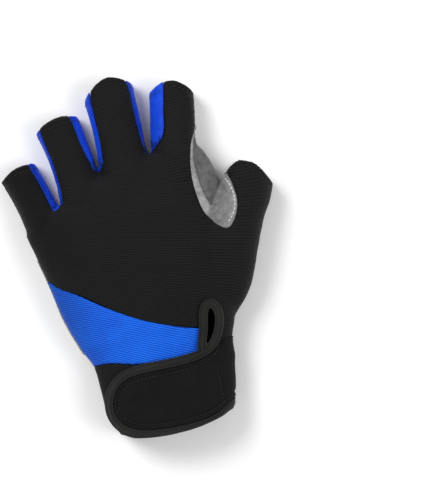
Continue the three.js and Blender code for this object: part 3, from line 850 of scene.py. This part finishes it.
# Draws a layer in until its inner face lies a gap away from the surface under it
def laid_close(piece, surface):
    points = points_of(piece)
    feet = np.array([surface.find_nearest(Vector(point))[0] for point in points])
    heights = np.linalg.norm(points - feet, axis=1)
    tree = tree_of(points)
    stand_off = []
    for point in points:
        nearby = [index for _, index, _ in tree.find_range(point, 2.2)]
        stand_off.append(heights[nearby].min())
    shares = (heights - stand_off + GAP) / np.maximum(heights, 0.01)
    moved_to(piece, feet + (points - feet) * shares[:, None])
    return piece


# Tape round the palm side of the wrist hem
def cuff_binding(cuff):
    area = region("hem", HEM_LINE, high=BINDING_HIGH)
    binding = sewn_piece("cuff_binding", BINDING_THICKNESS, area, FINE_VOXEL)
    return laid_close(binding, surface_of(cuff))


# Suede tab on the palm side of the cuff
def wrist_tab():
    area = region("tab_area", TAB_OUTLINE, high=PAD_HIGH, smooth=False)
    return sewn_piece("wrist_tab", TAB_THICKNESS, area, FINE_VOXEL)


# Surface of finished pieces, for laying others on
def surface_of(*pieces):
    bm = bmesh.new()
    for piece in pieces:
        bm.from_mesh(piece.data)
    surface = BVHTree.FromBMesh(bm)
    bm.free()
    return surface


# Places a pitch apart from a dense row of places and normals
def paced(hits, pitch):
    kept = [hits[0]]
    travelled = 0.0
    for (before, _), (place, normal) in zip(hits, hits[1:]):
        travelled += (place - before).length
        if travelled >= pitch:
            kept.append((place, normal))
            travelled = 0.0
    return kept


# Places and normals along a line in plan, on the back or the palm side of a surface
def laid_on(surface, line, from_below=False):
    start, way = (-10, 1) if from_below else (50, -1)
    hits = []
    for x, y in smooth_rows(line, 60 * len(line)):
        place, normal, _, _ = surface.ray_cast(Vector((x, y, start)), Vector((0, 0, way)))
        if place is not None:
            hits.append((place, normal))
    return hits


# Places and normals round a ring of points near a surface
def laid_round(surface, ring):
    dense = smooth_rows(ring, 6 * len(ring), closed=True)
    return [surface.find_nearest(Vector(point))[:2] for point in dense]


# One mesh of short rounded stitches, spaced out along rows of places and normals
def sewn(name, rows):
    pitch, length, radius = STITCH_SIZES[name]
    bm = bmesh.new()
    for row in rows:
        hits = paced(row, pitch)
        for (place, normal), (after, _) in zip(hits, hits[1:]):
            along = after - place
            if along.length > 1.8 * length:
                continue
            side = normal.cross(along).normalized()
            up = along.cross(side).normalized()
            turn = Matrix((side, up, along.normalized())).transposed().to_4x4()
            size = Matrix.Diagonal((radius, radius, length / 2, 1))
            where = Matrix.Translation((place + after) / 2 + up * radius * 0.3)
            whole = where @ turn @ size
            bmesh.ops.create_uvsphere(bm, u_segments=6, v_segments=5, radius=1, matrix=whole)
    return from_bmesh(name, bm)


# One mesh of small round holes: dark discs laid on the surface, standing in for the holes with painted
# shade
def holes(name, surface):
    bm = bmesh.new()
    for column in HOLE_COLUMNS:
        for x, y in column:
            place, normal, _, _ = surface.ray_cast(Vector((x, y, -10)), Vector((0, 0, 1)))
            turn = normal.to_track_quat("Z", "Y").to_matrix().to_4x4()
            where = Matrix.Translation(place + normal * 0.02) @ turn
            bmesh.ops.create_circle(bm, cap_ends=True, segments=12, radius=HOLE_RADIUS, matrix=where)
    return from_bmesh(name, bm)


# Node in a tree, with its settings, and values or links for its inputs
def node(tree, kind, inputs=(), **settings):
    made = tree.nodes.new("ShaderNode" + kind)
    for name, value in settings.items():
        setattr(made, name, value)
    for socket, value in dict(inputs).items():
        if isinstance(value, bpy.types.NodeSocket):
            tree.links.new(value, made.inputs[socket])
        else:
            made.inputs[socket].default_value = value
    return made


# Empty shader node group with named inputs and outputs
def effect(name, inputs, outputs):
    tree = bpy.data.node_groups.new(name, "ShaderNodeTree")
    for title, default in inputs.items():
        kind = "NodeSocketVector" if default is None else "NodeSocketFloat"
        socket = tree.interface.new_socket(title, in_out="INPUT", socket_type=kind)
        if default is not None:
            socket.default_value = default
    for title in outputs:
        tree.interface.new_socket(title, in_out="OUTPUT", socket_type="NodeSocketFloat")
    return tree, tree.nodes.new("NodeGroupInput").outputs, tree.nodes.new("NodeGroupOutput").inputs


def math_node(tree, operation, *values):
    made = node(tree, "Math", dict(enumerate(values)), operation=operation)
    return made.outputs[0]


# Fine ribs that run nearly across the glove and turn level towards the knuckles, and cloudy wear
def rib_effect():
    inputs = {"Vector": None, "Spacing": 0.00125, "Slope": 0.62, "Bend": -4.0, "Wobble": 0.6, "Cloud": 0.02}
    tree, given, made = effect("ribs", inputs, ["Height", "Cloudiness"])
    wobble = node(tree, "TexNoise", {"Vector": given["Vector"], "Scale": 90.0, "Detail": 2.0})
    parts = node(tree, "SeparateXYZ", {0: given["Vector"]}).outputs
    turn = math_node(tree, "MULTIPLY_ADD", parts["Y"], given["Bend"], given["Slope"])
    turn = math_node(tree, "SUBTRACT", turn, parts["X"])
    slanted = math_node(tree, "MULTIPLY_ADD", parts["X"], turn, parts["Y"])
    turns = math_node(tree, "DIVIDE", slanted, given["Spacing"])
    shift = math_node(tree, "MULTIPLY", wobble.outputs["Fac"], given["Wobble"])
    phase = math_node(tree, "MULTIPLY", math_node(tree, "ADD", turns, shift), 2 * math.pi)
    ribs = math_node(tree, "MULTIPLY_ADD", math_node(tree, "SINE", phase), 0.5, 0.5)
    cross = math_node(tree, "MULTIPLY", math_node(tree, "DIVIDE", parts["X"], given["Spacing"]), 9.0)
    stitches = math_node(tree, "MULTIPLY_ADD", math_node(tree, "SINE", cross), 0.12, 0.0)
    tree.links.new(math_node(tree, "ADD", ribs, stitches), made["Height"])
    scale = math_node(tree, "DIVIDE", 1.0, given["Cloud"])
    cloud = node(tree, "TexNoise", {"Vector": given["Vector"], "Scale": scale, "Detail": 4.0})
    tree.links.new(cloud.outputs["Fac"], made["Cloudiness"])
    return tree


# Short nap: fine grain, and soft patches brushed one way and the other
def nap_effect():
    inputs = {"Vector": None, "Grain": 0.0004, "Patch": 0.006}
    tree, given, made = effect("nap", inputs, ["Height", "Patches"])
    fine = math_node(tree, "DIVIDE", 1.0, given["Grain"])
    grain = node(tree, "TexNoise", {"Vector": given["Vector"], "Scale": fine, "Detail": 3.0})
    tree.links.new(grain.outputs["Fac"], made["Height"])
    broad = math_node(tree, "DIVIDE", 1.0, given["Patch"])
    patches = node(tree, "TexNoise", {"Vector": given["Vector"], "Scale": broad, "Detail": 5.0})
    tree.links.new(patches.outputs["Fac"], made["Patches"])
    return tree


EFFECTS = {"ribs": rib_effect(), "nap": nap_effect()}


# Material whose colour runs between two tones and whose bump, in metres, comes from an effect
def finish_of(name, effect_name, values, dark, light, roughness, sheen, bump, turn=0.0):
    patterned = {"Rotation": (0, 0, math.radians(turn)), "Location": tuple(-TO_ROW.translation)}
    material = bpy.data.materials.new(name)
    material.use_nodes = True
    tree = material.node_tree
    surface = tree.nodes["Principled BSDF"]
    place = node(tree, "TexCoord").outputs["Object"]
    turned = node(tree, "Mapping", {"Vector": place, **patterned})
    pattern = node(tree, "Group", node_tree=EFFECTS[effect_name])
    tree.links.new(turned.outputs[0], pattern.inputs["Vector"])
    for title, value in values.items():
        pattern.inputs[title].default_value = value
    height = pattern.outputs["Height"]
    clouds = pattern.outputs[1]
    mixed = math_node(tree, "ADD", math_node(tree, "MULTIPLY", height, HEIGHT_SHARE),
                      math_node(tree, "MULTIPLY", clouds, CLOUD_SHARE))
    tone = node(tree, "ValToRGB", {"Fac": mixed})
    first, last = tone.color_ramp.elements
    first.position = DARK_END
    first.color = (*dark, 1)
    last.position = LIGHT_END
    last.color = (*light, 1)
    # The colour is multiplied by the tone attribute, which holds the painted light and shade of each vertex
    painted_shading = node(tree, "Attribute", attribute_name="tone").outputs["Fac"]
    colour = node(tree, "Mix", {"Factor": 1.0, 6: tone.outputs["Color"], 7: painted_shading},
                  data_type="RGBA", blend_type="MULTIPLY")
    tree.links.new(colour.outputs[2], surface.inputs["Base Color"])
    raised = node(tree, "Bump", {"Strength": 1.0, "Distance": bump, "Height": height})
    tree.links.new(raised.outputs["Normal"], surface.inputs["Normal"])
    rough = math_node(tree, "MULTIPLY_ADD", clouds, 0.15, roughness - 0.07)
    tree.links.new(rough, surface.inputs["Roughness"])
    surface.inputs["Specular IOR Level"].default_value = 0.12
    surface.inputs["Sheen Weight"].default_value = sheen
    surface.inputs["Sheen Roughness"].default_value = 0.45
    return material


def grey(tone):
    return (tone, tone, tone)


# Finishes: effect, its values, darker and lighter tone, roughness, sheen, bump, turn in degrees
def materials():
    ribs = {"Spacing": 0.00125, "Wobble": 0.6}
    tape = {"Spacing": 0.0008, "Wobble": 0.2, "Slope": 0.0, "Bend": 0.0}
    palm = {"Grain": 0.0005, "Patch": 0.01}
    cuff = {"Grain": 0.0006, "Patch": 0.012}
    loops = {"Grain": 0.0007, "Patch": 0.008}
    stretch = {"Grain": 0.0005, "Patch": 0.004}
    suede = {"Grain": 0.00055, "Patch": 0.0032}
    thread = {"Grain": 0.0003, "Patch": 0.002}
    finishes = {
        "back_cloth": ("ribs", ribs, (0.0035, 0.0035, 0.0038), (0.007, 0.007, 0.0075), 0.62, 0.03, 0.0003),
        "palm_cloth": ("nap", palm, (0.003, 0.003, 0.0034), (0.006, 0.006, 0.0065), 0.7, 0.03, 0.00005),
        "cuff_cloth": ("nap", cuff, grey(0.0035), grey(0.0076), 0.75, 0.04, 0.00008),
        "loop_cloth": ("nap", loops, grey(0.0028), grey(0.0066), 0.9, 0.05, 0.00018),
        "blue_cloth": ("ribs", ribs, (0.003, 0.05, 0.42), (0.008, 0.14, 0.76), 0.62, 0.03, 0.0002),
        "blue_stretch": ("nap", stretch, (0.003, 0.032, 0.42), (0.006, 0.07, 0.66), 0.55, 0.03, 0.00006),
        "suede": ("nap", suede, grey(0.13), grey(0.38), 0.9, 0.15, 0.00025),
        "tape": ("ribs", tape, (0.006, 0.006, 0.0055), (0.024, 0.024, 0.023), 0.72, 0.06, 0.00025, 90),
        "light_thread": ("nap", thread, grey(0.55), grey(0.80), 0.6, 0.1, 0.00005),
        "dark_thread": ("nap", thread, grey(0.008), grey(0.022), 0.5, 0.1, 0.00005),
        # Near-black discs: painted shade inside the finger holes
        "painted_hole_shade": ("nap", thread, grey(0.001), grey(0.002), 0.95, 0.0, 0.00002),
    }
    return {name: finish_of(name, *values) for name, values in finishes.items()}


# A finished piece in the row frame and clear of the floor, with its material
def dressed(piece, material):
    if piece.data.attributes.get("tone") is None:
        painted_light_and_shade(piece, np.ones(len(piece.data.vertices)))
    points = points_of(piece)
    points[:, 2] = np.maximum(points[:, 2], FLOOR_GAP)
    moved_to(piece, points)
    piece.data.transform(TO_ROW)
    piece.data.shade_smooth()
    piece.data.materials.clear()
    piece.data.materials.append(material)
    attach(piece, "root")


# Finish and slot of each piece
LOOKS = {
    "back_panel": ("back_cloth", "black_back_cloth"),
    "wrist_panel": ("blue_cloth", "blue_cloth"),
    "palm_panel": ("palm_cloth", "black_palm_cloth"),
    "thumb_gusset": ("suede", "grey_suede"),
    "fourchette_pinky_ring": ("blue_stretch", "blue_cloth"),
    "fourchette_ring_middle": ("blue_stretch", "blue_cloth"),
    "fourchette_middle_index": ("blue_stretch", "blue_cloth"),
    "cuff": ("cuff_cloth", "black_cuff_cloth"),
    "strap": ("loop_cloth", "black_loop_cloth"),
    "strap_binding": ("tape", "ribbed_tape"),
    "palm_pad": ("suede", "grey_suede"),
    "cuff_binding": ("tape", "ribbed_tape"),
    "wrist_tab": ("suede", "grey_suede"),
    "pad_stitches": ("light_thread", "grey_suede"),
    "tab_stitches": ("light_thread", "grey_suede"),
    "gusset_stitches": ("light_thread", "grey_suede"),
    "strap_stitches": ("dark_thread", "black_loop_cloth"),
    "hem_stitches": ("dark_thread", "black_back_cloth"),
    "finger_holes": ("painted_hole_shade", "black_palm_cloth"),
}


# Camera straight above, rolled as in the photo
def camera():
    lens = bpy.data.cameras.new("camera")
    lens.lens = 200
    lens.sensor_width = 36
    lens.clip_end = 20
    eye = bpy.data.objects.new("camera", lens)
    bpy.context.scene.collection.objects.link(eye)
    framed = PICTURE_HEIGHT * PIXEL * MM
    x, y, z = AIM
    eye.location = (x, y, z + framed * lens.lens / lens.sensor_width)
    eye.rotation_euler = (0, 0, math.radians(ROLL))
    bpy.context.scene.camera = eye


# Area light that points to the middle of the floor
def softbox(name, place, size, power):
    light = bpy.data.lights.new(name, "AREA")
    light.size = size
    light.energy = power
    lamp = bpy.data.objects.new(name, light)
    bpy.context.scene.collection.objects.link(lamp)
    lamp.location = place
    lamp.rotation_euler = (-Vector(place)).to_track_quat("-Z", "Y").to_euler()


# Pale floor, clear when seen from under it, with white surroundings and two area lights
def studio():
    bm = bmesh.new()
    bmesh.ops.create_grid(bm, x_segments=1, y_segments=1, size=3)
    floor = from_bmesh("floor", bm)
    material = bpy.data.materials.new("floor")
    material.use_nodes = True
    tree = material.node_tree
    surface = tree.nodes["Principled BSDF"]
    surface.inputs["Base Color"].default_value = (0.86, 0.86, 0.86, 1)
    surface.inputs["Roughness"].default_value = 0.9
    behind = node(tree, "NewGeometry").outputs["Backfacing"]
    clear = node(tree, "BsdfTransparent").outputs[0]
    seen = node(tree, "MixShader", {0: behind, 1: surface.outputs[0], 2: clear})
    tree.links.new(seen.outputs[0], tree.nodes["Material Output"].inputs["Surface"])
    floor.data.materials.append(material)
    world = bpy.data.worlds.new("studio")
    world.use_nodes = True
    world.node_tree.nodes["Background"].inputs["Color"].default_value = (1, 1, 1, 1)
    world.node_tree.nodes["Background"].inputs["Strength"].default_value = 0.55
    bpy.context.scene.world = world
    bpy.context.scene.view_settings.view_transform = "Standard"
    softbox("key", (-0.7, 0.9, 1.3), 0.8, 22)
    softbox("fill", (0.9, -0.3, 1.1), 0.8, 9)


# Panels of the skin with their hems, creases and folds
def finished_panels():
    outside = whole_body("outside", 0)
    inside = whole_body("inside", WALL)
    panels = skin_panels(outside, inside)
    dropped(outside)
    calmed(panels["back_panel"])
    hemmed(panels["back_panel"], 11)
    gathered(panels["back_panel"], 8)
    hemmed(panels["palm_panel"], 21)
    hemmed(panels["wrist_panel"], 31)
    for fingers, rows in FOURCHETTE_SEAMS.items():
        creased(panels["fourchette_" + fingers], rows, len(fingers))
    folded_gusset(panels["thumb_gusset"])
    return panels


# Stitches and holes on the finished surfaces
def threads_on(panels, trims):
    pad = surface_of(trims["palm_pad"])
    tab = surface_of(trims["wrist_tab"])
    gusset = surface_of(panels["thumb_gusset"])
    strap = surface_of(trims["strap"])
    skin = surface_of(*panels.values())
    pad_lines = (PAD_STITCHES, PAD_HEM_STITCHES, *QUILT_LINES)
    rows = {
        "pad_stitches": [laid_on(pad, line, from_below=True) for line in pad_lines],
        "tab_stitches": [laid_on(tab, line, from_below=True) for line in TAB_STITCHES],
        "gusset_stitches": [laid_on(gusset, LEAF_STITCHES)],
        "strap_stitches": [laid_on(strap, line) for line in (STRAP_STITCHES, STRAP_END_STITCHES)],
        "hem_stitches": [laid_round(skin, ring) for ring in hem_rings(HEM_WIDTH).values()],
    }
    threads = {name: sewn(name, hits) for name, hits in rows.items()}
    threads["finger_holes"] = holes("finger_holes", surface_of(panels["palm_panel"]))
    return threads


# All the pieces, each dressed in its finish, with the CAD parts that they take the place of hidden
def glove():
    finishes = materials()
    panels = finished_panels()
    trims = {
        "strap": strap_field(),
        "strap_binding": edge_tape(),
        "palm_pad": palm_pad(),
        "cuff_binding": cuff_binding(panels["cuff"]),
        "wrist_tab": wrist_tab(),
    }
    threads = threads_on(panels, trims)
    for name, piece in {**panels, **trims}.items():
        finish, slot = LOOKS[name]
        piece.name = name + "_cloth"
        nodes = ("strap_binding", "keyhole_binding") if name == "strap_binding" else (name,)
        dressed(piece, finishes[finish])
        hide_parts(*nodes)
    for name, piece in threads.items():
        finish, slot = LOOKS[name]
        dressed(piece, finishes[finish])


camera()
studio()
glove()
